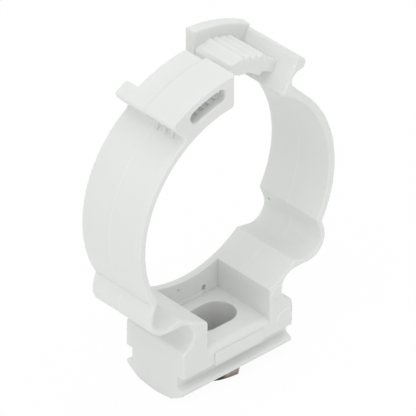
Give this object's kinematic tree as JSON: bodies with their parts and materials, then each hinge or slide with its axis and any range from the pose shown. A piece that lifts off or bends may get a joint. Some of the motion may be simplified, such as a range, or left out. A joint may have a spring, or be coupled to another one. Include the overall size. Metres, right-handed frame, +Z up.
{
  "type": "pipe clip",
  "caption": "Snap-shut plastic pipe clip: an open spring ring on a grooved base, with a toothed tongue latch and a hexagon nut in its underside.",
  "frame": {"origin": "on the thread axis at the underside of the nut, the lowest plane of the part", "axes": "+Z up from the nut through the middle of the ring, +Y along the pipe, +X along the base, towards the arm that carries the lever and tongue"},
  "size_m": [0.0534, 0.018, 0.0768],
  "materials": {
    "white_plastic": "fine matte moulded surface, off-white",
    "zinc_steel": "zinc plated, bright with soft dark reflections"
  },
  "bodies": {
    "root": {"clip_body": "white_plastic", "stud_nut": "zinc_steel"}
  },
  "joints": []
}
